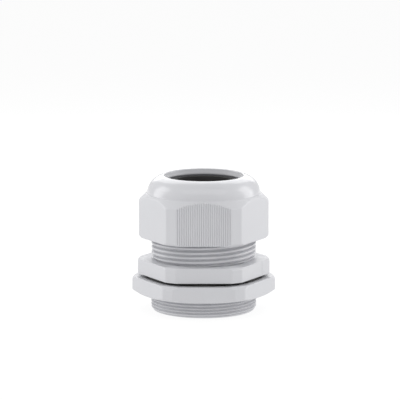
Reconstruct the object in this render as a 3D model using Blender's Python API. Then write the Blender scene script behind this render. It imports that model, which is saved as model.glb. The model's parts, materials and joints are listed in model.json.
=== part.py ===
"""Cable gland, M50 x 1.5, moulded in light grey nylon, with a black rubber seal and gasket.

Frame: +Z is the gland's axis, pointing out of the domed cap. The origin is the centre of the entry
thread's lower end, so the gland stands on z = 0. A flat of each hexagon faces -Y.
All driving dimensions below are in millimetres; the model itself is in metres.
"""
import bpy
import bmesh
from math import atan2, cos, hypot, pi, sin, tan

MM = 0.001

# ---------------------------------------------------------------- driving dimensions, mm
ROUND_STEPS = 28            # facets around a turned or threaded shape
GUIDE_STEPS = 44            # facets of the cones that trim the hexagons
CUTTER_SHIFT = 0.37         # share of a facet by which a turned cutter is turned on
EPS = 0.3                   # working gap between pieces that touch or slide
OVERLAP = 0.4               # how far joined shapes reach into each other

# entry thread, M50 x 1.5, one start, right-handed
ENTRY_CREST_R = 25.0
ENTRY_ROOT_R = 24.1
ENTRY_PITCH = 1.5
ENTRY_CREST_WIDTH = 0.3
ENTRY_CREST_Z = 4.55        # height of one crest at the front of the gland
ENTRY_CHAMFER = 1.3
ENTRY_ROOM = 0.5            # by which a trimming shape clears the entry thread's crests

# body: hexagon, neck and two-start upper thread
BODY_FLATS = 57.0
BODY_CORNER_R = 31.3        # distance from the axis to the flat that cuts each corner
BODY_BOTTOM_Z = 17.35
BODY_TOP_Z = 24.5
BODY_EDGE = 0.5
BORE_R = 20.5
NECK_R = 23.3
NECK_TOP_Z = 25.3
RIM_Z = 41.0                # upper end of the body
UPPER_CREST_R = 24.8
UPPER_ROOT_R = 23.75
UPPER_PITCH = 2.26
UPPER_STARTS = 2
UPPER_CREST_WIDTH = 0.45
UPPER_ROOT_WIDTH = 0.75
UPPER_CREST_Z = 26.5
UPPER_ROOM = 1.0            # by which a trimming shape clears the upper thread's crests
RIM_STEP = 0.2              # by which the rim is narrower than the thread's root

# thread clearances of the two nuts
NUT_RADIAL_GAP = 0.35
CAP_FLANK_GAP = 0.3
LOCKNUT_FLANK_GAP = 0.22

# cap nut
CAP_FLATS = 56.0
CAP_CORNER_R = 30.75
CAP_BOTTOM_Z = 34.8
CAP_EDGE = 0.5
SHOULDER_Z = 56.0           # top of the 45 degree shoulder, where the dome starts
DOME_BASE_R = 27.1
DOME_R = 8.6                # radius of the dome's rounded outline
DOME_LEAN = 0.28            # outline's lean below the rounding, radial over axial
DOME_STEPS = 5
CAP_TOP_Z = 64.5
CAP_ENTRY_R = 26.0          # wide end of the chamfer that leads into the cap's thread
CORE_STEP = 0.15            # by which the cap's core clears its thread's crests
MOUTH_R = 18.7
MOUTH_ROUND = 0.4
LIP_R = 17.4
LIP_Z = 62.0
CONE_BASE_R = 24.0
CONE_BASE_Z = 51.8
CAP_THREAD_TOP_Z = 48.0

# clamping claw: a seated ring with spring fingers round the seal
FINGERS = 14
HINGE_R = 21.8
HINGE_Z = 44.8
FINGER_FOOT = 1.2           # half of a finger's thickness, also the radius of its rounded foot
FINGER_TOP_Z = 56.8
FINGER_SHOULDER_Z = 48.0
FINGER_STEPS = 4
FINGER_TIP_R = (18.6, 20.4)  # inner, outer
SLOT_WIDTH = 1.8            # between fingers, at the tips' inner edge
RING_TOP_Z = 43.3
RING_R = 23.4
SPIGOT_R = 20.0
SPIGOT_BOTTOM_Z = 35.5
LEDGE_R = 17.2
LEDGE_THICKNESS = 1.0

# rubber
SEAL_R = (16.2, 18.2)       # inner, outer
SEAL_TOP_Z = 61.2
SEAL_TOP_R = 17.0
SEAL_TAPER = 2.6            # height over which the seal's outside narrows
GASKET_R = (25.3, 27.6)
GASKET_Z = (16.2, 17.1)

# locknut
LOCKNUT_FLATS = 61.6
LOCKNUT_CORNER_R = 33.95
LOCKNUT_Z = (8.4, 15.95)
LOCKNUT_CHAMFER_R = 30.0
LOCKNUT_CHAMFER_SLOPE = 0.4  # rise of the conical underside over its radius
LOCKNUT_EDGE = 0.5

# ---------------------------------------------------------------- materials
NYLON = ("nylon", (0.70, 0.71, 0.73), 0.38)
RUBBER = ("rubber", (0.018, 0.017, 0.018), 0.62)


def make_material(name, colour, roughness):
    material = bpy.data.materials.new(name)
    material.use_nodes = True
    shader = material.node_tree.nodes["Principled BSDF"]
    shader.inputs["Base Color"].default_value = (*colour, 1)
    shader.inputs["Roughness"].default_value = roughness
    shader.inputs["Metallic"].default_value = 0
    material.diffuse_color = (*colour, 1)
    return material


# ---------------------------------------------------------------- mesh helpers
def add_object(name, points, faces, material=None):
    """A named object from points in millimetres, with its faces turned outwards."""
    mesh = bpy.data.meshes.new(name)
    mesh.from_pydata([[c * MM for c in p] for p in points], [], faces)
    work = bmesh.new()
    work.from_mesh(mesh)
    bmesh.ops.recalc_face_normals(work, faces=work.faces)
    work.to_mesh(mesh)
    work.free()
    item = bpy.data.objects.new(name, mesh)
    bpy.context.collection.objects.link(item)
    if material:
        mesh.materials.append(material)
        mesh.shade_smooth()
        mesh.set_sharp_from_angle(angle=pi / 6)
    else:
        item.hide_render = True
        item.display_type = "WIRE"
    return item


def turned(name, outline, material=None, closed=True, steps=ROUND_STEPS):
    """Turn an outline of (radius, height) points about Z. An open outline gets flat ends.

    A cutter's facets are set between those of the piece that it cuts, so that no edges coincide.
    """
    count = len(outline)
    shift = 0 if material else CUTTER_SHIFT
    points = []
    for i in range(steps):
        a = 2 * pi * (i + shift) / steps
        points += [(r * cos(a), r * sin(a), z) for r, z in outline]
    faces = []
    for i in range(steps):
        here = i * count
        there = (i + 1) % steps * count
        for k in range(count if closed else count - 1):
            k1 = (k + 1) % count
            faces.append((here + k, there + k, there + k1, here + k1))
    if not closed:
        faces.append([i * count for i in range(steps)])
        faces.append([i * count + count - 1 for i in range(steps)])
    return add_object(name, points, faces, material)


def hexagon(across_flats, corner_r):
    """The twelve points of a hexagon with its corners cut off, a flat facing -Y."""
    half = across_flats / 2
    full_corner = half / cos(pi / 6)
    half_cut = (full_corner - corner_r) * tan(pi / 3)
    points = []
    for i in range(6):
        a = i * pi / 3
        for side in (-half_cut, half_cut):
            points.append((corner_r * cos(a) - side * sin(a), corner_r * sin(a) + side * cos(a)))
    return points


def hexagon_prism(name, across_flats, corner_r, low, high, edge, material):
    """An upright hexagon with cut corners, both its ends chamfered by edge."""
    narrow = hexagon(across_flats - 2 * edge, corner_r - edge)
    wide = hexagon(across_flats, corner_r)
    layers = ((narrow, low), (wide, low + edge), (wide, high - edge), (narrow, high))
    points = [(x, y, z) for outline, z in layers for x, y in outline]
    count = len(wide)
    last = (len(layers) - 1) * count
    faces = [list(range(count)), list(range(last, last + count))]
    for start in range(0, last, count):
        for i in range(count):
            j = (i + 1) % count
            faces.append((start + i, start + j, start + count + j, start + count + i))
    return add_object(name, points, faces, material)


def boolean(item, cutter, operation):
    modifier = item.modifiers.new(operation.lower() + " " + cutter.name, "BOOLEAN")
    modifier.object = cutter
    modifier.operation = operation
    modifier.solver = "EXACT"


# ---------------------------------------------------------------- threads
def thread_teeth(crest_r, root_r, pitch, crest_width, root_width, starts):
    """Outline of one lead of a thread, as (radius, height) from the first crest's middle."""
    flank = (pitch - crest_width - root_width) / 2
    teeth = []
    for start in range(starts):
        z = start * pitch
        teeth += [(crest_r, z - crest_width / 2), (crest_r, z + crest_width / 2)]
        teeth.append((root_r, z + crest_width / 2 + flank))
        if root_width:
            teeth.append((root_r, z + pitch - crest_width / 2 - flank))
    return teeth


def thread_solid(name, teeth, lead, crest_z, low, high):
    """A threaded rod that reaches past low and high, with a crest at crest_z on the -Y side."""
    steps = ROUND_STEPS
    count = len(teeth)
    front = crest_z + lead / 4           # azimuth 0 is a quarter turn after the front
    first = int((low - front) // lead) - 1
    turns = int((high - low) / lead) + 4
    points = []
    for i in range((turns + 1) * steps + 1):
        a = 2 * pi * i / steps
        rise = front + lead * (first + i / steps)
        points += [(r * cos(a), r * sin(a), rise + z) for r, z in teeth]
    faces = []

    def vertex(i, k):
        return (i + steps) * count if k == count else i * count + k

    for i in range(turns * steps):
        for k in range(count):
            faces.append((vertex(i, k), vertex(i + 1, k), vertex(i + 1, k + 1), vertex(i, k + 1)))
    used = turns * steps
    bottom = [vertex(i, 0) for i in range(steps + 1)]
    bottom += [vertex(0, k) for k in range(count - 1, 0, -1)]
    top = [vertex(used + i, 0) for i in range(steps)]
    top += [vertex(used, k) for k in range(count, 0, -1)]
    for rim in (bottom, top):
        points.append((0, 0, sum(points[v][2] for v in rim) / len(rim)))
        centre = len(points) - 1
        for i, v in enumerate(rim):
            faces.append((centre, v, rim[(i + 1) % len(rim)]))
    kept = {v for face in faces for v in face}
    order = {v: n for n, v in enumerate(sorted(kept))}
    return add_object(name, [points[v] for v in sorted(kept)], [[order[v] for v in f] for f in faces])


def entry_thread(name, radial_gap, flank_gap, low, high):
    teeth = thread_teeth(
        ENTRY_CREST_R + radial_gap,
        ENTRY_ROOT_R + radial_gap,
        ENTRY_PITCH,
        ENTRY_CREST_WIDTH + 2 * flank_gap,
        0,
        1,
    )
    return thread_solid(name, teeth, ENTRY_PITCH, ENTRY_CREST_Z, low, high)


def upper_thread(name, radial_gap, flank_gap, low, high):
    flank_slope = (UPPER_PITCH - UPPER_CREST_WIDTH - UPPER_ROOT_WIDTH) / 2
    flank_slope /= UPPER_CREST_R - UPPER_ROOT_R
    widen = 2 * (flank_gap - radial_gap * flank_slope)
    teeth = thread_teeth(
        UPPER_CREST_R + radial_gap,
        UPPER_ROOT_R + radial_gap,
        UPPER_PITCH,
        UPPER_CREST_WIDTH + widen,
        UPPER_ROOT_WIDTH - widen,
        UPPER_STARTS,
    )
    return thread_solid(name, teeth, UPPER_PITCH * UPPER_STARTS, UPPER_CREST_Z, low, high)


# ---------------------------------------------------------------- the pieces
def make_body(nylon):
    """Hexagon with the entry thread below it and the two-start thread above it."""
    body = hexagon_prism(
        "body", BODY_FLATS, BODY_CORNER_R, BODY_BOTTOM_Z, BODY_TOP_Z, BODY_EDGE, nylon
    )

    upper = upper_thread("upper_thread_form", 0, 0, BODY_TOP_Z, RIM_Z)
    outer = UPPER_CREST_R + UPPER_ROOM
    upper_trim = turned(
        "upper_thread_trim",
        [
            (NECK_R, BODY_TOP_Z - OVERLAP),
            (NECK_R, NECK_TOP_Z),
            (outer, NECK_TOP_Z + outer - NECK_R),
            (outer, RIM_Z - (outer - UPPER_ROOT_R)),
            (UPPER_ROOT_R - RIM_STEP, RIM_Z),
        ],
        closed=False,
    )
    boolean(upper, upper_trim, "INTERSECT")
    boolean(body, upper, "UNION")

    entry = entry_thread("entry_thread_form", 0, 0, 0, BODY_BOTTOM_Z)
    outer = ENTRY_CREST_R + ENTRY_ROOM
    entry_trim = turned(
        "entry_thread_trim",
        [
            (ENTRY_CREST_R - ENTRY_CHAMFER, 0),
            (outer, ENTRY_CHAMFER + ENTRY_ROOM),
            (outer, BODY_BOTTOM_Z + OVERLAP),
        ],
        closed=False,
    )
    boolean(entry, entry_trim, "INTERSECT")
    boolean(body, entry, "UNION")

    bore = turned("bore_form", [(BORE_R, -1), (BORE_R, RIM_Z + 1)], closed=False)
    boolean(body, bore, "DIFFERENCE")
    return body


def dome_outline():
    """The dome's outer outline from the shoulder up to the mouth, one leaning line and an arc."""
    lean = atan2(DOME_LEAN, 1)
    centre_z = CAP_TOP_Z - DOME_R
    arc_foot_z = centre_z + DOME_R * sin(lean)
    arc_foot_r = DOME_BASE_R - DOME_LEAN * max(arc_foot_z - SHOULDER_Z, 0)
    centre_r = arc_foot_r - DOME_R * cos(lean)
    arc = []
    for i in range(DOME_STEPS + 1):
        a = lean + (pi / 2 - lean) * i / DOME_STEPS
        arc.append((centre_r + DOME_R * cos(a), centre_z + DOME_R * sin(a)))
    return [(DOME_BASE_R, SHOULDER_Z)] + arc


def make_cap(nylon):
    """Hexagon with a domed top, an inner cone that bends the claw's fingers, and an inner thread."""
    corner = CAP_CORNER_R + 1
    cap = hexagon_prism(
        "cap_nut", CAP_FLATS, CAP_CORNER_R, CAP_BOTTOM_Z, CAP_TOP_Z + 2, CAP_EDGE, nylon
    )
    outside = turned(
        "cap_outside_guide",
        [(corner, CAP_BOTTOM_Z - 1), (corner, SHOULDER_Z - (corner - DOME_BASE_R))] + dome_outline(),
        closed=False,
        steps=GUIDE_STEPS,
    )
    boolean(cap, outside, "INTERSECT")
    core_r = UPPER_ROOT_R + NUT_RADIAL_GAP + CORE_STEP
    cavity = turned(
        "cap_cavity_form",
        [
            (CAP_ENTRY_R, CAP_BOTTOM_Z - 1),
            (CAP_ENTRY_R, CAP_BOTTOM_Z),
            (core_r, CAP_BOTTOM_Z + CAP_ENTRY_R - core_r),
            (core_r, CAP_THREAD_TOP_Z),
            (CONE_BASE_R, CAP_THREAD_TOP_Z + EPS),
            (CONE_BASE_R, CONE_BASE_Z),
            (LIP_R, LIP_Z),
            (MOUTH_R - MOUTH_ROUND, CAP_TOP_Z - MOUTH_ROUND * 1.5),
            (MOUTH_R + MOUTH_ROUND, CAP_TOP_Z),
            (MOUTH_R + MOUTH_ROUND, CAP_TOP_Z + 2),
        ],
        closed=False,
    )
    boolean(cap, cavity, "DIFFERENCE")
    thread = upper_thread(
        "cap_thread_form", NUT_RADIAL_GAP, CAP_FLANK_GAP, CAP_BOTTOM_Z, CAP_THREAD_TOP_Z
    )
    outer = UPPER_CREST_R + UPPER_ROOM
    trim = turned(
        "cap_thread_trim",
        [
            (outer, CAP_BOTTOM_Z - 2),
            (outer, CAP_THREAD_TOP_Z - (outer - UPPER_ROOT_R)),
            (UPPER_ROOT_R, CAP_THREAD_TOP_Z),
        ],
        closed=False,
    )
    boolean(thread, trim, "INTERSECT")
    boolean(cap, thread, "DIFFERENCE")
    return cap


def make_locknut(nylon):
    """Large thin hexagon nut with a conical underside."""
    low, high = LOCKNUT_Z
    corner = LOCKNUT_CORNER_R + 1
    locknut = hexagon_prism(
        "locknut", LOCKNUT_FLATS, LOCKNUT_CORNER_R, low, high, LOCKNUT_EDGE, nylon
    )
    outside = turned(
        "locknut_outside_guide",
        [
            (LOCKNUT_CHAMFER_R, low - 1),
            (LOCKNUT_CHAMFER_R, low),
            (corner, low + LOCKNUT_CHAMFER_SLOPE * (corner - LOCKNUT_CHAMFER_R)),
            (corner, high + 1),
        ],
        closed=False,
        steps=GUIDE_STEPS,
    )
    boolean(locknut, outside, "INTERSECT")
    thread = entry_thread("locknut_thread_form", NUT_RADIAL_GAP, LOCKNUT_FLANK_GAP, low, high)
    boolean(locknut, thread, "DIFFERENCE")
    return locknut


def make_claw_ring(nylon):
    """The claw's seated ring: a flange on the body's rim, a spigot in its bore and a ledge."""
    inner = SEAL_R[1] + EPS
    return turned(
        "claw_ring",
        [
            (LEDGE_R, SPIGOT_BOTTOM_Z),
            (SPIGOT_R, SPIGOT_BOTTOM_Z),
            (SPIGOT_R, RIM_Z + EPS),
            (RING_R, RIM_Z + EPS),
            (RING_R, RING_TOP_Z),
            (inner, RING_TOP_Z),
            (inner, SPIGOT_BOTTOM_Z + LEDGE_THICKNESS),
            (LEDGE_R, SPIGOT_BOTTOM_Z + LEDGE_THICKNESS),
        ],
        nylon,
    )


def make_finger(index, nylon):
    """One spring finger. Its origin is its bending axis, at the foot's centre."""
    foot = [
        (HINGE_R + FINGER_FOOT * cos(a), HINGE_Z + FINGER_FOOT * sin(a))
        for a in [-pi + pi * i / 4 for i in range(5)]
    ]
    outer = HINGE_R + FINGER_FOOT
    outline = foot + [
        (outer, FINGER_SHOULDER_Z),
        (FINGER_TIP_R[1], FINGER_TOP_Z),
        (FINGER_TIP_R[0], FINGER_TOP_Z),
    ]
    half_angle = pi / FINGERS - SLOT_WIDTH / 2 / FINGER_TIP_R[0]
    count = len(outline)
    points = []
    for i in range(FINGER_STEPS + 1):
        a = -half_angle + 2 * half_angle * i / FINGER_STEPS
        points += [(r * cos(a) - HINGE_R, r * sin(a), z - HINGE_Z) for r, z in outline]
    last = FINGER_STEPS * count
    faces = [list(range(count)), list(range(last, last + count))]
    for i in range(FINGER_STEPS):
        for k in range(count):
            k1 = (k + 1) % count
            here = i * count
            faces.append((here + k, here + count + k, here + count + k1, here + k1))
    finger = add_object(f"claw_finger_{index + 1:02d}", points, faces, nylon)
    turn = 2 * pi * (index + 0.5) / FINGERS
    finger.location = (HINGE_R * cos(turn) * MM, HINGE_R * sin(turn) * MM, HINGE_Z * MM)
    finger.rotation_euler = (0, 0, turn)
    return finger


def make_seal(rubber):
    """Rubber sleeve inside the claw, thinner at its upper edge."""
    inner, outer = SEAL_R
    return turned(
        "seal",
        [
            (inner, SPIGOT_BOTTOM_Z + LEDGE_THICKNESS + EPS),
            (outer, SPIGOT_BOTTOM_Z + LEDGE_THICKNESS + EPS),
            (outer, SEAL_TOP_Z - SEAL_TAPER),
            (SEAL_TOP_R, SEAL_TOP_Z),
            (inner + EPS, SEAL_TOP_Z),
            (inner, SEAL_TOP_Z - EPS),
        ],
        rubber,
    )


def make_gasket(rubber):
    """Flat washer between the body's hexagon and the panel."""
    inner, outer = GASKET_R
    low, high = GASKET_Z
    return turned("gasket", [(inner, low), (outer, low), (outer, high), (inner, high)], rubber)


def main():
    for item in list(bpy.data.objects):
        bpy.data.objects.remove(item, do_unlink=True)
    nylon = make_material(*NYLON)
    rubber = make_material(*RUBBER)
    make_body(nylon)
    make_cap(nylon)
    make_locknut(nylon)
    make_gasket(rubber)
    insert = bpy.data.objects.new("clamp_insert_axis", None)
    bpy.context.collection.objects.link(insert)
    pieces = [make_claw_ring(nylon), make_seal(rubber)]
    pieces += [make_finger(i, nylon) for i in range(FINGERS)]
    for piece in pieces:
        piece.parent = insert


main()
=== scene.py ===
"""Looks of the cable gland: fine meshes, materials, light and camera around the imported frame.

Lengths in the shape functions are millimetres, as on the gland's drawing; finished meshes are in metres.
"""
import json
from math import atan, ceil, cos, floor, pi, radians, sin, sqrt, tan

import bmesh
import bpy
import numpy as np
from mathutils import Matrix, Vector


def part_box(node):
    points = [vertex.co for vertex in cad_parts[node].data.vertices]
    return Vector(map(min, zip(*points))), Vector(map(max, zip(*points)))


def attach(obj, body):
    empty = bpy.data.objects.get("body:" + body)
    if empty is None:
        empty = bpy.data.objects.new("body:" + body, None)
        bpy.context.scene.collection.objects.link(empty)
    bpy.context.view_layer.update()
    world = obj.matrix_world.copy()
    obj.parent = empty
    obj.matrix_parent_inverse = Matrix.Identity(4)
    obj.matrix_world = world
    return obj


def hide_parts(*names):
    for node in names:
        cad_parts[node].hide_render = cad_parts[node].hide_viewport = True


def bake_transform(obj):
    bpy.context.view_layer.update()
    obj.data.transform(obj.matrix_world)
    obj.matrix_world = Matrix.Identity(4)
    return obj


MM = 0.001
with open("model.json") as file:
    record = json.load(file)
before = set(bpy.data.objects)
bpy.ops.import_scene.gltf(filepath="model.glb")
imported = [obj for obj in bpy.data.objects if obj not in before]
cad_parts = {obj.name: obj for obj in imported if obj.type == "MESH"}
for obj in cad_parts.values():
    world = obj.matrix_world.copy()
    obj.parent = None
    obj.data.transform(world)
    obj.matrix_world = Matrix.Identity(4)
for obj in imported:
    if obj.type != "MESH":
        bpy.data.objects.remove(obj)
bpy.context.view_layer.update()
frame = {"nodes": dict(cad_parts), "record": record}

# ---------------------------------------------------------------- sizes read from the frame, mm


def span(node):
    """Lowest and highest corner of a CAD node, in millimetres."""
    low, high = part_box(node)
    return np.array(low) / MM, np.array(high) / MM


def mount(name):
    """The place of one of the record's mounts, in millimetres."""
    place = next(m["pos_m"] for m in frame["record"]["mounts"] if m["name"] == name)
    return np.array(place) / MM


BODY_HIGH = span("body")[1]
CAP_LOW, CAP_HIGH = span("cap_nut")
NUT_LOW, NUT_HIGH = span("locknut")
GASKET_LOW, GASKET_HIGH = span("gasket")
RING_LOW, RING_HIGH = span("claw_ring")
SEAL_LOW, SEAL_HIGH = span("seal")
FINGER_TOP = span("claw_finger_01")[1][2]

BODY_FLAT = -mount("body_spanner_flat")[1]      # from the axis to a flat
CAP_FLAT = CAP_HIGH[1]
NUT_FLAT = NUT_HIGH[1]

# ---------------------------------------------------------------- sizes of the finer shapes, mm
THREAD_STEPS = 192          # points around a thread
TURN_STEPS = 240            # points around a plain turned shape
EDGE_STEPS = 6              # rows in a rounded edge
BODY_EDGE = 0.3             # rounding of the body hexagon's level edges
NUT_EDGE = 0.35             # and of the locknut's
CORNER_SLOPE = 1.1          # of the turned-down corners of the hexagons
CORNER_SOFTNESS = 0.5
CORNER_ROWS = [0.55, 0.8, 1.05, 1.3, 1.6, 2.0]  # rows this far from an end, where corners turn down
HEX_SOFTNESS = 0.3          # how far the hexagons' upright edges are rounded

# body
HEX_BOTTOM = 17.35
HEX_TOP = 24.5
BODY_CORNER_CUT = 0.9
BORE_R = 20.5
BORE_CHAMFER = 0.5
BORE_MOUTH = 1.0            # chamfer at the bore's lower end

# locknut
NUT_CORNER_CUT = 1.3
NUT_CONE_R = 30.9           # the conical underside, at the lower face
NUT_CONE_SLOPE = 2.4
NUT_CONE_ROWS = [0.7, 0.85, 1.0, 1.15, 1.3, 1.45, 1.6, 1.8, 2.1, 2.6]
NUT_CHAMFER = 0.5

# cap nut
CAP_CORNER_CUT = 1.0
CAP_CHAMFER = 0.9           # where its thread begins
GROOVES = 25
GROOVE_PITCH = 1.03
GROOVE_DEPTH = 0.4
GROOVE_SAMPLES = 10
CAP_EDGE = 0.4
SHOULDER_SUM = 83.25        # radius plus height anywhere on the 45 degree shoulder
SHOULDER_LOW = 50.6
SHOULDER_HIGH = 55.95
SHOULDER_SOFTNESS = 0.45
DOME_R = 9.07
DOME_CENTRE_R = 17.88
DOME_CENTRE_Z = 55.42
DOME_FOOT_Z = 56.3
LIP_CENTRE_R = 19.3
LIP_ROUND = 0.55
LIP_STEPS = 8
DOME_STEPS = 44
SHOULDER_STEPS = 36
FUNNEL_STEPS = 9            # rows down the funnel of the mouth
THROAT_ROUND = 0.3
THROAT_R = 17.4
THROAT_Z = 62.0
CONE_R = 24.0
CONE_Z = 51.8
CAP_THREAD_TOP = 48.0

# threads
# crest and root are the heights of a thread's flat top and bottom; z is a crest's height at azimuth -90
UPPER = {"crest_r": 24.8, "root_r": 23.25, "pitch": 2.26, "starts": 2,
         "crest": 0.9, "root": 0.35, "z": 26.5}
ENTRY = {"crest_r": 25.0, "root_r": 24.0, "pitch": 1.5, "starts": 1,
         "crest": 0.25, "root": 0.2, "z": 4.55}
NECK_R = 23.8               # plain neck between the body's hexagon and its upper thread
NECK_TOP = 25.0
NECK_SLOPE = 1.4            # where the upper thread grows out of the neck
RIM_SLOPE = 1.2             # chamfer at the body's upper end
ENTRY_SLOPE = 0.75          # and at its lower end
UPPER_SOFTNESS = 0.2        # how far each thread's chamfers are blended in
CHAMFER_SOFTNESS = 0.15
NUT_SOFTNESS = 0.12
NUT_GAP = 0.35              # radial clearance of the inner threads
CAP_PLAY = 0.12             # how much wider their grooves are on each side
NUT_PLAY = 0.03

# parting line of the mould, a fine groove up one flat of the body's hexagon and the opposite one
SEAM_OFFSET = 5.8           # from the middle of the flat
SEAM_WIDTH = 0.4
SEAM_DEPTH = 0.3

# gasket
GASKET_INNER_R = 25.3
GASKET_EDGE = 0.2

# claw
FINGERS = sum(name.startswith("claw_finger") for name in frame["nodes"])
FINGER_HINGE = (21.8, 44.8)     # radius and height of each finger's hinge
FINGER_FOOT = 1.2               # radius of the finger's round foot
FINGER_SHOULDER_Z = 48.0
FINGER_TIP_R = 20.4
FINGER_INNER_R = 18.6
TIP_ROUND = 0.5
TIP_INNER_ROUND = 0.4
FINGER_GAP = 0.9                # half the slot between two fingers
WEB_HALF = 0.45                 # half the thickness of the hinge web
WEB_HEIGHT = 1.1                # the stretch that bends, below the hinge
RING_INNER_R = 18.5
SPIGOT_R = 20.0
LEDGE_R = 17.2                  # the ledge that holds the seal

# seal
SEAL_INNER_R = 16.2
SEAL_TAPER = 2.6                # height of the taper at its upper end
SEAL_BEND = (44.0, 50.0)        # the stretch in which it starts to follow the fingers

# ---------------------------------------------------------------- small geometry helpers


def smooth_min(a, b, soft):
    """The smaller of two lengths, rounded off where they differ by less than soft."""
    share = np.clip(0.5 + 0.5 * (b - a) / soft, 0, 1)
    return b * (1 - share) + a * share - soft * share * (1 - share)


def smooth_max(a, b, soft):
    """The larger of two lengths, rounded off in the same way."""
    return -smooth_min(-a, -b, soft)


def ring(theta, radius, height):
    """Points around the axis, anticlockwise from azimuth 0."""
    z = np.broadcast_to(height, theta.shape)
    return np.stack([radius * np.cos(theta), radius * np.sin(theta), z], axis=-1)


def even_angles(count):
    """Azimuths evenly spaced around the axis, from 0."""
    return np.arange(count) * 2 * pi / count


def grid(rings):
    """Quads between rings that have the same number of points."""
    rings = np.array(rings)
    rows, count = rings.shape[:2]
    here = np.arange(count)
    there = (here + 1) % count
    faces = []
    for start in range(0, (rows - 1) * count, count):
        up = start + count
        faces += np.stack([start + here, start + there, up + there, up + here], axis=1).tolist()
    return rings.reshape(-1, 3), faces


def stitch(first, second):
    """Triangles between two rings that have their own numbers of points."""
    n, m = len(first), len(second)
    full = 2 * pi
    angle_1 = np.append(np.arctan2(first[:, 1], first[:, 0]) % full, full)
    angle_2 = np.append(np.arctan2(second[:, 1], second[:, 0]) % full, full)
    faces = []
    i = j = 0
    while i < n or j < m:
        if j == m or (i < n and angle_1[i + 1] <= angle_2[j + 1]):
            faces.append((i, (i + 1) % n, n + j % m))
            i += 1
        else:
            faces.append((i % n, n + (j + 1) % m, n + j))
            j += 1
    return np.concatenate([first, second]), faces


def turned(outline, steps=TURN_STEPS):
    """An outline of (radius, height) points turned about the axis."""
    theta = even_angles(steps)
    return grid([ring(theta, r, z) for r, z in outline])


def arc(centre, radius, start, end, steps):
    """Points of a circular arc, its angles in degrees."""
    angles = np.radians(np.linspace(start, end, steps + 1))
    return [(centre[0] + radius * cos(a), centre[1] + radius * sin(a)) for a in angles]


def piece(name, blocks, material, sharp=75):
    """Weld blocks of points and faces, given in millimetres, into one closed mesh object."""
    points, faces = [], []
    for block_points, block_faces in blocks:
        start = len(points)
        points += block_points.tolist()
        faces += [[start + v for v in face] for face in block_faces]
    mesh = bpy.data.meshes.new(name)
    mesh.from_pydata(points, [], faces)
    work = bmesh.new()
    work.from_mesh(mesh)
    bmesh.ops.remove_doubles(work, verts=work.verts, dist=0.0005)
    bmesh.ops.dissolve_degenerate(work, edges=work.edges, dist=0.0002)
    bmesh.ops.recalc_face_normals(work, faces=work.faces)
    bmesh.ops.scale(work, vec=(MM, MM, MM), verts=work.verts)
    work.to_mesh(mesh)
    work.free()
    mesh.materials.append(material)
    mesh.shade_smooth()
    mesh.set_sharp_from_angle(angle=radians(sharp))
    item = bpy.data.objects.new(name, mesh)
    bpy.context.scene.collection.objects.link(item)
    return item


# ---------------------------------------------------------------- hexagons
FLAT_NORMALS = np.radians([-90, -30, 30, 90, 150, 210])


def hexagon_angles(flat, corner_r, samples):
    """Azimuths around a cut-corner hexagon: samples on each flat, more at its corner cuts."""
    full = flat * tan(pi / 6)
    half = full - (flat / cos(pi / 6) - corner_r) / sin(pi / 6)
    near = [0.1, 0.2, 0.32, 0.46, 0.65, 0.9, 1.3]
    corner = [half + d for d in near] + [half + (full - half) * 0.75]
    theta = []
    for normal, count in zip(FLAT_NORMALS, samples):
        inner = list(np.linspace(-half, half, count))
        edge = [half - d for d in near[:5]]
        across = inner + edge + [-e for e in edge] + corner + [-c for c in corner] + [full]
        theta += [normal + atan(u / flat) for u in across]
    return np.unique(np.round(np.array(theta) % (2 * pi), 7))


def hexagon_radius(theta, flat, corner_r, inset=0, soft=HEX_SOFTNESS, relief=0):
    """Distance from the axis to a hexagon with cut corners, its upright edges softened."""
    off_flat = (theta - FLAT_NORMALS[0] + pi / 6) % (pi / 3) - pi / 6
    off_corner = (theta + pi / 6) % (pi / 3) - pi / 6
    to_flat = (flat - inset - relief) / np.cos(off_flat)
    to_corner = (corner_r - inset) / np.cos(off_corner)
    return smooth_min(to_flat, to_corner, soft)


def rounded_ends(low, high, edge, support=0.08):
    """(inset, height) rows of an upright wall whose two ends are rounded by edge."""
    turn = [pi / 2 * i / EDGE_STEPS for i in range(EDGE_STEPS + 1)]
    bottom = [(edge * (1 - sin(a)), low + edge * (1 - cos(a))) for a in turn]
    top = [(inset, high - (z - low)) for inset, z in reversed(bottom)]
    wall = [(0, low + edge + support)]
    wall += [(0, low + d) for d in CORNER_ROWS]
    wall += [(0, high - d) for d in reversed(CORNER_ROWS)]
    wall += [(0, high - edge - support)]
    return [(edge + support, low)] + bottom + wall + top + [(edge + support, high)]


def round_corners(radius, corner_r, cut, from_end):
    """Turn a hexagon's corners down by cut towards one of its end faces."""
    return smooth_min(radius, corner_r - cut + from_end * CORNER_SLOPE, CORNER_SOFTNESS)


# ---------------------------------------------------------------- threads


def tooth_rows(thread, widen=0):
    """(radius, height) rows over one lead, from the middle of the first crest."""
    pitch = thread["pitch"]
    crest = thread["crest"] / 2 + widen
    root = thread["root"] / 2 - widen
    flank = pitch / 2 - crest - root
    depth = thread["crest_r"] - thread["root_r"]
    soft = 0.3                  # rounding of crest and root, as a share of the flank
    shares = [-0.12, 0.02, 0.14, 0.35, 0.65, 0.86, 0.98, 1.12]
    half = [0] + [crest + flank * s for s in shares] + [pitch / 2]
    heights = sorted({round(h, 6) for h in half} | {round(pitch - h, 6) for h in half[1:-1]})
    rows = []
    for start in range(thread["starts"]):
        for z in heights:
            down = (min(z, pitch - z) - crest) / flank
            down = smooth_min(smooth_max(down, 0, soft), 1, soft)
            rows.append((thread["crest_r"] - depth * down, start * pitch + z))
    return rows


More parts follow.
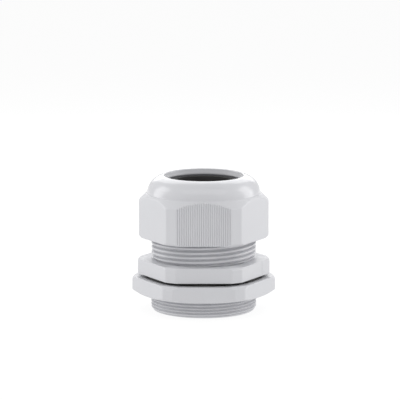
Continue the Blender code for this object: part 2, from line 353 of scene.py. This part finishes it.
def thread_block(thread, low, high, shape, widen=0, grow=0):
    """A helical surface cut off flat at low and high; shape(radius, height) limits its radius."""
    rows = tooth_rows(thread, widen)
    per_lead = len(rows)
    lead = thread["pitch"] * thread["starts"]
    start = thread["z"] + lead / 4
    first = floor((low - start) / lead) - 2
    leads = ceil((high - low) / lead) + 4
    theta = even_angles(THREAD_STEPS)
    z = np.concatenate([[h + lead * (first + n) for _, h in rows] for n in range(leads)])
    r = np.tile([radius for radius, _ in rows], leads) + grow
    height = start + z[:, None] + lead * theta[None, :] / (2 * pi)
    radius = shape(np.broadcast_to(r[:, None], height.shape), height)
    ends = shape(np.full(2, thread["root_r"] + grow), np.array([low, high], float))
    radius = np.where(height <= low, ends[0], radius)
    radius = np.where(height >= high, ends[1], radius)
    height = np.clip(height, low, high)
    points = np.stack([radius * np.cos(theta), radius * np.sin(theta), height], axis=-1)
    total = len(z)
    faces = []
    for k in range(total - 1 - per_lead):
        here = k * THREAD_STEPS + np.arange(THREAD_STEPS)
        there = here + 1
        there[-1] = (k + per_lead) * THREAD_STEPS
        quads = np.stack([here, there, there + THREAD_STEPS, here + THREAD_STEPS], axis=1)
        inside = (height[k] < high) & (height[k + per_lead] > low)
        faces += quads[inside].tolist()
    return points.reshape(-1, 3), faces


# ---------------------------------------------------------------- materials


def principled(name, colour, roughness):
    """A new node material and its Principled shader."""
    material = bpy.data.materials.new(name)
    material.use_nodes = True
    shader = material.node_tree.nodes["Principled BSDF"]
    shader.inputs["Base Color"].default_value = (*colour, 1)
    shader.inputs["Roughness"].default_value = roughness
    return material, shader


def node(material, kind, **settings):
    """Add a node to a material."""
    made = material.node_tree.nodes.new(kind)
    for key, value in settings.items():
        setattr(made, key, value)
    return made


def noise(material, scale, detail=3.0):
    """A noise over the object's own coordinates, scale in features a metre."""
    place = node(material, "ShaderNodeTexCoord")
    made = node(material, "ShaderNodeTexNoise")
    made.inputs["Scale"].default_value = scale
    made.inputs["Detail"].default_value = detail
    material.node_tree.links.new(place.outputs["Object"], made.inputs["Vector"])
    return made


def tint(material, shader, source, dark, light):
    """Vary the base colour a little with a noise."""
    ramp = node(material, "ShaderNodeMix", data_type="RGBA")
    ramp.inputs["A"].default_value = (*dark, 1)
    ramp.inputs["B"].default_value = (*light, 1)
    links = material.node_tree.links
    links.new(source.outputs["Fac"], ramp.inputs["Factor"])
    links.new(ramp.outputs["Result"], shader.inputs["Base Color"])


def vary(material, source, socket, low, high):
    """Drive a shader's number between low and high with a noise."""
    spread = node(material, "ShaderNodeMapRange")
    spread.inputs["From Min"].default_value = 0.3
    spread.inputs["From Max"].default_value = 0.7
    spread.inputs["To Min"].default_value = low
    spread.inputs["To Max"].default_value = high
    links = material.node_tree.links
    links.new(source.outputs["Fac"], spread.inputs["Value"])
    links.new(spread.outputs["Result"], socket)


def bump(material, shader, source, height):
    """Fine surface texture from a noise, height in metres."""
    made = node(material, "ShaderNodeBump")
    made.inputs["Strength"].default_value = 1
    made.inputs["Distance"].default_value = height
    links = material.node_tree.links
    links.new(source.outputs["Fac"], made.inputs["Height"])
    links.new(made.outputs["Normal"], shader.inputs["Normal"])


def nylon(name, roughness, grain, painted_shade_factor=1.0):
    """Light grey moulded nylon; grain is the height in metres of its fine surface texture, and the last
    argument scales the colour down to paint shade onto it.
    """
    dark = [painted_shade_factor * c for c in (0.565, 0.568, 0.592)]
    light = [painted_shade_factor * c for c in (0.595, 0.598, 0.62)]
    material, shader = principled(name, light, roughness)
    broad = noise(material, 90)
    fine = noise(material, 1500, 2.0)
    tint(material, shader, broad, dark, light)
    vary(material, broad, shader.inputs["Roughness"], roughness - 0.04, roughness + 0.04)
    bump(material, shader, fine, grain)
    return material


def rubber():
    """Black moulded rubber with a faint bloom."""
    material, shader = principled("black_rubber", (0.02, 0.019, 0.019), 0.55)
    broad = noise(material, 220)
    fine = noise(material, 3200, 2.0)
    tint(material, shader, broad, (0.014, 0.013, 0.013), (0.032, 0.03, 0.029))
    vary(material, broad, shader.inputs["Roughness"], 0.45, 0.62)
    bump(material, shader, fine, 0.000003)
    return material


SATIN = nylon("nylon_satin", 0.42, 0.000006)
GLOSS = nylon("nylon_gloss", 0.2, 0.000003)
# Darker copy of the nylon for the mouth's inner wall: painted shade for the shadowed inside of the mouth.
MOUTH_PAINTED_SHADE = nylon("nylon_mouth_painted_shade", 0.42, 0.00001, painted_shade_factor=0.75)
RUBBER = rubber()

# ---------------------------------------------------------------- the pieces


def finish_piece(item, body, slot, *nodes):
    """Attach a rigid piece to its body and hide the CAD nodes it stands for. The slot argument is not used.
    """
    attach(item, body)
    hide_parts(*nodes)
    return item


def groove_relief(theta):
    """How deep the grip grooves are cut at each azimuth: on every other flat, the front one first."""
    relief = np.zeros_like(theta)
    for normal in FLAT_NORMALS[::2]:
        off = (theta - normal + pi) % (2 * pi) - pi
        along = CAP_FLAT * np.tan(np.clip(off, -pi / 6, pi / 6))
        inside = (np.abs(off) < pi / 6) & (np.abs(along) < GROOVES * GROOVE_PITCH / 2)
        relief += np.where(inside, GROOVE_DEPTH * np.cos(pi * along / GROOVE_PITCH) ** 6, 0)
    return relief


def cap_outline():
    """The dome from its foot up over the lip and down the mouth to the top of the inner thread."""
    top = CAP_HIGH[2]
    crease_r = SHOULDER_SUM - SHOULDER_HIGH
    crease = [(crease_r - 0.16, SHOULDER_HIGH + 0.1), (crease_r - 0.27, SHOULDER_HIGH + 0.22)]
    low = np.degrees(np.arcsin((DOME_FOOT_Z - DOME_CENTRE_Z) / DOME_R))
    reach = np.degrees(np.arccos((LIP_CENTRE_R + 0.5 - DOME_CENTRE_R) / DOME_R))
    dome = arc((DOME_CENTRE_R, DOME_CENTRE_Z), DOME_R, low, reach, DOME_STEPS)
    lip_z = top - LIP_ROUND
    lip = arc((LIP_CENTRE_R, lip_z), LIP_ROUND, 90, 180, LIP_STEPS)
    mouth_r = LIP_CENTRE_R - LIP_ROUND
    funnel = []
    for i in range(1, FUNNEL_STEPS):
        share = i / FUNNEL_STEPS
        z = lip_z + (THROAT_Z + THROAT_ROUND - lip_z) * share
        funnel.append((mouth_r + (THROAT_R - mouth_r) * share, z))
    throat = arc((THROAT_R + THROAT_ROUND, THROAT_Z), THROAT_ROUND, 180, 240, 4)
    inside = [
        (CONE_R - 0.1, CONE_Z + 0.15),
        (CONE_R, CONE_Z),
        (CONE_R, CAP_THREAD_TOP + 1.2),
        (UPPER["crest_r"] + NUT_GAP, CAP_THREAD_TOP + 0.2),
        (UPPER["crest_r"] + NUT_GAP, CAP_THREAD_TOP),
    ]
    return crease + dome, lip + funnel + throat + inside


def make_cap():
    """Cap nut: grooved hexagon, shoulder, dome, mouth, inner cone and inner thread."""
    samples = [GROOVES * GROOVE_SAMPLES + 1, 50] * 3
    theta = hexagon_angles(CAP_FLAT, CAP_HIGH[0], samples)
    relief = groove_relief(theta)
    low = CAP_LOW[2]
    rows = rounded_ends(low, SHOULDER_LOW, CAP_EDGE)[: EDGE_STEPS + 3 + len(CORNER_ROWS)]
    rows += [(0, z) for z in np.linspace(low + 2.5, SHOULDER_LOW, 5)]
    rows += [(0, z) for z in np.linspace(SHOULDER_LOW, SHOULDER_HIGH, SHOULDER_STEPS)[1:]]
    rings = []
    for inset, z in rows:
        wall = hexagon_radius(theta, CAP_FLAT, CAP_HIGH[0], inset, relief=relief)
        wall = round_corners(wall, CAP_HIGH[0], CAP_CORNER_CUT, z - low)
        rings.append(ring(theta, smooth_min(wall, SHOULDER_SUM - z, SHOULDER_SOFTNESS), z))
    dome, inner = cap_outline()
    outer_rings = turned(dome + inner)
    female_r = UPPER["crest_r"] + NUT_GAP

    def opening(radius, height):
        """Widen the thread into its entry chamfer."""
        return smooth_max(radius, female_r + CAP_CHAMFER - (height - low), CHAMFER_SOFTNESS)

    thread = thread_block(UPPER, low, CAP_THREAD_TOP, opening, widen=CAP_PLAY, grow=NUT_GAP)
    steps = even_angles(THREAD_STEPS)
    thread_bottom = ring(steps, opening(UPPER["root_r"] + NUT_GAP, low), low)
    thread_top = ring(steps, opening(UPPER["root_r"] + NUT_GAP, CAP_THREAD_TOP), CAP_THREAD_TOP)
    turned_steps = even_angles(TURN_STEPS)
    blocks = [
        grid(rings),
        stitch(rings[-1], ring(turned_steps, *dome[0])),
        outer_rings,
        stitch(ring(turned_steps, *inner[-1]), thread_top),
        thread,
        stitch(thread_bottom, rings[0]),
    ]
    cap = piece("cap_shell", blocks, SATIN)
    for material in (GLOSS, MOUTH_PAINTED_SHADE):
        cap.data.materials.append(material)
    # Faces inside the lip take the darker nylon, which is painted shade; faces above the shoulder take the
    # glossy nylon.
    for face in cap.data.polygons:
        radial = sqrt(face.center.x ** 2 + face.center.y ** 2)
        if radial < (LIP_CENTRE_R - LIP_ROUND) * MM:
            face.material_index = cap.data.materials.find("nylon_mouth_painted_shade")
        elif face.center.z > SHOULDER_HIGH * MM:
            face.material_index = cap.data.materials.find("nylon_gloss")
    return finish_piece(cap, "cap", "nylon", "cap_nut")


def seam_relief(theta):
    """Depth of the mould's parting line at each azimuth."""
    relief = np.zeros_like(theta)
    for normal in FLAT_NORMALS[1::3]:
        off = (theta - normal + pi) % (2 * pi) - pi
        along = BODY_FLAT * np.tan(np.clip(off, -pi / 6, pi / 6))
        relief += SEAM_DEPTH * np.clip(1 - np.abs(along - SEAM_OFFSET) / (SEAM_WIDTH / 2), 0, 1)
    return relief


def seam_angles():
    """Azimuths of the parting lines' middles and edges."""
    across = np.array([-1.2, -0.5, -0.25, 0, 0.25, 0.5, 1.2]) * SEAM_WIDTH + SEAM_OFFSET
    turns = [normal + np.arctan(across / BODY_FLAT) for normal in FLAT_NORMALS[1::3]]
    return np.concatenate(turns) % (2 * pi)


def make_body():
    """Body: entry thread, hexagon, neck, two-start upper thread and bore."""
    steps = even_angles(THREAD_STEPS)
    corner = BODY_HIGH[0]
    theta = np.unique(np.append(hexagon_angles(BODY_FLAT, corner, [60] * 6), seam_angles()))
    seam = seam_relief(theta)
    rings = []
    for inset, z in rounded_ends(HEX_BOTTOM, HEX_TOP, BODY_EDGE):
        wall = hexagon_radius(theta, BODY_FLAT, corner, inset, relief=seam)
        rings.append(ring(theta, round_corners(wall, corner, BODY_CORNER_CUT, HEX_TOP - z), z))

    def entry_limit(radius, height):
        """Chamfer at the lower end."""
        return smooth_min(radius, ENTRY["root_r"] - 0.1 + height * ENTRY_SLOPE, CHAMFER_SOFTNESS)

    def upper_limit(radius, height):
        """Plain neck above the hexagon, and a chamfer at the upper end."""
        neck = NECK_R + np.maximum(height - NECK_TOP, 0) * NECK_SLOPE
        rim = UPPER["root_r"] - 0.3 + (BODY_HIGH[2] - height) * RIM_SLOPE
        return smooth_min(smooth_min(radius, neck, UPPER_SOFTNESS), rim, UPPER_SOFTNESS)

    entry = thread_block(ENTRY, 0, HEX_BOTTOM, entry_limit)
    upper = thread_block(UPPER, HEX_TOP, BODY_HIGH[2], upper_limit)
    rim_r = upper_limit(UPPER["root_r"], BODY_HIGH[2])
    end_r = entry_limit(ENTRY["root_r"], 0.0)
    bore = [
        (rim_r, BODY_HIGH[2]),
        (BORE_R + BORE_CHAMFER, BODY_HIGH[2]),
        (BORE_R, BODY_HIGH[2] - BORE_CHAMFER),
        (BORE_R, BORE_MOUTH),
        (BORE_R + BORE_MOUTH, 0),
        (end_r, 0),
    ]
    blocks = [
        entry,
        stitch(ring(steps, entry_limit(ENTRY["root_r"], HEX_BOTTOM), HEX_BOTTOM), rings[0]),
        grid(rings),
        stitch(rings[-1], ring(steps, upper_limit(UPPER["root_r"], HEX_TOP), HEX_TOP)),
        upper,
        turned(bore, THREAD_STEPS),
    ]
    body = piece("body_shell", blocks, SATIN)
    return finish_piece(body, "gland_body", "nylon", "body")


def make_locknut():
    """Locknut: large hexagon with a shallow conical underside and an inner thread."""
    low, high = NUT_LOW[2], NUT_HIGH[2]
    corner = NUT_HIGH[0]
    theta = hexagon_angles(NUT_FLAT, corner, [64] * 6)
    rows = rounded_ends(low, high, NUT_EDGE)
    cone = [(0, low + d) for d in NUT_CONE_ROWS]
    bottom = EDGE_STEPS + 2
    top = len(rows) - bottom - len(CORNER_ROWS)
    rows = rows[:bottom] + cone + rows[top:]
    rings = []
    for inset, z in rows:
        wall = hexagon_radius(theta, NUT_FLAT, corner, inset)
        wall = round_corners(wall, corner, NUT_CORNER_CUT, high - z)
        rings.append(ring(theta, smooth_min(wall, NUT_CONE_R + (z - low) * NUT_CONE_SLOPE, 0.5), z))
    female_r = ENTRY["crest_r"] + NUT_GAP

    def mouths(radius, height):
        """Entry chamfers at both ends."""
        ends = female_r + NUT_CHAMFER - np.minimum(height - low, high - height)
        return smooth_max(radius, ends, NUT_SOFTNESS)

    steps = even_angles(THREAD_STEPS)
    thread = thread_block(ENTRY, low, high, mouths, widen=NUT_PLAY, grow=NUT_GAP)
    end_r = mouths(ENTRY["root_r"] + NUT_GAP, low)
    blocks = [
        grid(rings),
        stitch(rings[-1], ring(steps, end_r, high)),
        thread,
        stitch(ring(steps, end_r, low), rings[0]),
    ]
    locknut = piece("locknut_shell", blocks, SATIN)
    return finish_piece(locknut, "locknut", "nylon", "locknut")


def loop(outline):
    """Close an outline on itself for turning."""
    return outline + outline[:1]


def rounded_box(inner, outer, low, high, edge):
    """Outline of a turned ring with rounded edges."""
    return loop(
        arc((outer - edge, low + edge), edge, -90, 0, 4)
        + arc((outer - edge, high - edge), edge, 0, 90, 4)
        + arc((inner + edge, high - edge), edge, 90, 180, 4)
        + arc((inner + edge, low + edge), edge, 180, 270, 4)
    )


def make_gasket():
    """Flat rubber ring on the locknut."""
    outline = rounded_box(GASKET_INNER_R, GASKET_HIGH[0], GASKET_LOW[2], GASKET_HIGH[2], GASKET_EDGE)
    gasket = piece("gasket_ring", [turned(outline)], RUBBER)
    return finish_piece(gasket, "gasket", "rubber", "gasket")


def sector(outline, half_angle, steps, turn):
    """A closed outline swept about the axis over an arc, with flat sides."""
    count = len(outline)
    r = np.array([p[0] for p in outline])
    z = np.array([p[1] for p in outline])
    points, faces = [], []
    for a in np.linspace(turn - half_angle, turn + half_angle, steps + 1):
        points.append(np.stack([r * cos(a), r * sin(a), z], axis=1))
    for i in range(steps):
        for k in range(count):
            k1 = (k + 1) % count
            here = i * count
            faces.append((here + k, here + count + k, here + count + k1, here + k1))
    faces.append(list(range(count)))
    faces.append(list(range(steps * count, (steps + 1) * count)))
    return np.concatenate(points), faces


def finger_turn(index):
    """Azimuth of a finger's middle."""
    return 2 * pi * (index + 0.5) / FINGERS


def make_fingers():
    """Spring fingers with rounded tips, each joined to the ring by its thin hinge web."""
    hinge_r, hinge_z = FINGER_HINGE
    web_top = hinge_z - FINGER_FOOT + 0.15
    web_foot = RING_HIGH[2] - 0.05
    outline = [(hinge_r - WEB_HALF, web_foot), (hinge_r + WEB_HALF, web_foot), (hinge_r + 0.5, web_top)]
    outline += arc((hinge_r, hinge_z), FINGER_FOOT, -50, 0, 4)
    outline += [(hinge_r + FINGER_FOOT, FINGER_SHOULDER_Z)]
    outline += arc((FINGER_TIP_R - TIP_ROUND, FINGER_TOP - TIP_ROUND), TIP_ROUND, 20, 90, 4)
    inner_tip = (FINGER_INNER_R + TIP_INNER_ROUND, FINGER_TOP - TIP_INNER_ROUND)
    outline += arc(inner_tip, TIP_INNER_ROUND, 90, 180, 4)
    outline += arc((hinge_r, hinge_z), FINGER_FOOT, 180, 230, 4)
    outline += [(hinge_r - 0.5, web_top)]
    half = pi / FINGERS - FINGER_GAP / FINGER_INNER_R
    for index in range(FINGERS):
        name = f"{index + 1:02d}"
        swept = sector(outline, half, 8, finger_turn(index))
        finger = piece(f"finger_{name}_moulding", [swept], SATIN)
        soften = finger.modifiers.new("soften", "BEVEL")
        soften.width = 0.00012
        soften.segments = 2
        soften.limit_method = "ANGLE"
        soften.angle_limit = radians(60)
        finish_soft(finger, f"finger_{name}", "nylon", f"claw_finger_{name}", hinge_z - WEB_HEIGHT, hinge_z)


def finish_soft(item, body, slot, cad_node, start, end):
    """Bake a piece's placement into its mesh and hide the CAD node it stands for. The body, slot, start and
    end arguments are not used.
    """
    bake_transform(item)
    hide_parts(cad_node)


def make_seal():
    """Rubber sleeve, made as one stretch for each finger."""
    inner, outer = SEAL_INNER_R, SEAL_HIGH[0]
    low, top = SEAL_LOW[2], SEAL_HIGH[2]
    outline = [(inner, low), (outer, low)]
    outline += [(outer, low + (top - SEAL_TAPER - low) * i / 12) for i in range(1, 13)]
    outline += arc((inner + 0.55, top - 0.35), 0.35, 20, 90, 3)
    outline += arc((inner + 0.3, top - 0.3), 0.3, 90, 180, 4)
    outline += [(inner, top - 0.3 - (top - 0.3 - low) * i / 14) for i in range(1, 14)]
    for index in range(FINGERS):
        name = f"{index + 1:02d}"
        swept = sector(outline, pi / FINGERS, 8, finger_turn(index))
        stretch = piece(f"seal_{name}", [swept], RUBBER)
        finish_soft(stretch, f"finger_{name}", "rubber", "seal", *SEAL_BEND)


def make_claw_ring():
    """The claw's ring: flange, spigot and the ledge that holds the seal."""
    flange_r, top = RING_HIGH[0], RING_HIGH[2]
    rim = BODY_HIGH[2] + 0.3
    low = RING_LOW[2]
    ledge = low + 1.0
    outline = [(LEDGE_R + 0.3, low), (SPIGOT_R - 0.5, low), (SPIGOT_R, low + 0.5)]
    outline += [(SPIGOT_R, rim), (flange_r - 0.2, rim)]
    outline += arc((flange_r - 0.3, rim + 0.3), 0.3, -60, 0, 3)
    outline += arc((flange_r - 0.5, top - 0.5), 0.5, 0, 90, 4)
    outline += [(RING_INNER_R + 0.2, top), (RING_INNER_R, top - 0.2), (RING_INNER_R, ledge)]
    outline += [(LEDGE_R + 0.2, ledge), (LEDGE_R, ledge - 0.2), (LEDGE_R, low + 0.3)]
    claw = piece("claw_ring_moulding", [turned(loop(outline))], SATIN)
    return finish_piece(claw, "clamp_insert", "nylon", "claw_ring")


# ---------------------------------------------------------------- studio


def make_floor():
    """Plain white table, bright enough to leave no horizon."""
    bpy.ops.mesh.primitive_plane_add(size=6)
    table = bpy.context.object
    table.name = "studio_floor"
    material, shader = principled("studio_white", (0.15, 0.15, 0.15), 1.0)
    shader.inputs["Specular IOR Level"].default_value = 0
    shader.inputs["Emission Color"].default_value = (1, 1, 1, 1)
    shader.inputs["Emission Strength"].default_value = 0.87
    table.data.materials.append(material)


def make_light(name, azimuth, elevation, size, power, distance=0.6):
    """A soft rectangular lamp that faces the gland; azimuth 0 is the camera's side."""
    lamp = bpy.data.lights.new(name, "AREA")
    lamp.shape = "RECTANGLE"
    lamp.size, lamp.size_y = size
    lamp.energy = power
    item = bpy.data.objects.new(name, lamp)
    bpy.context.scene.collection.objects.link(item)
    turn, rise = radians(azimuth), radians(elevation)
    away = Vector((sin(turn) * cos(rise), -cos(turn) * cos(rise), sin(rise)))
    item.location = Vector((0, 0, CAP_HIGH[2] / 2 * MM)) + away * distance
    item.rotation_euler = away.to_track_quat("Z", "Y").to_euler()


def make_studio():
    """White table and room, softboxes left, right, above the camera, behind and overhead."""
    make_floor()
    world = bpy.data.worlds.new("studio")
    bpy.context.scene.world = world
    world.use_nodes = True
    room = world.node_tree.nodes["Background"]
    room.inputs["Color"].default_value = (1, 1, 1, 1)
    room.inputs["Strength"].default_value = 0.65
    make_light("left_softbox", -105, 20, (0.3, 0.5), 1.25)
    make_light("right_softbox", 105, 20, (0.3, 0.5), 1.33)
    make_light("front_softbox", 0, 58, (0.9, 0.35), 1.05)
    make_light("back_softbox", 180, 20, (0.5, 0.2), 0.55)
    make_light("overhead_softbox", 180, 45, (0.6, 0.3), 0.95)


def make_camera():
    """Long lens, a little above the gland, with a flat of each hexagon square to it."""
    camera = bpy.data.cameras.new("camera")
    camera.sensor_width = 36
    camera.lens = 288.8
    camera.clip_end = 10
    item = bpy.data.objects.new("camera", camera)
    bpy.context.scene.collection.objects.link(item)
    item.location = (-0.001766, -1.5, 0.3113)
    item.rotation_euler = (pi / 2 - 0.1710, 0, 0)
    bpy.context.scene.camera = item


make_camera()
make_cap()
make_body()
make_locknut()
make_gasket()
make_claw_ring()
make_fingers()
make_seal()
make_studio()
bpy.context.scene.view_settings.view_transform = "Standard"
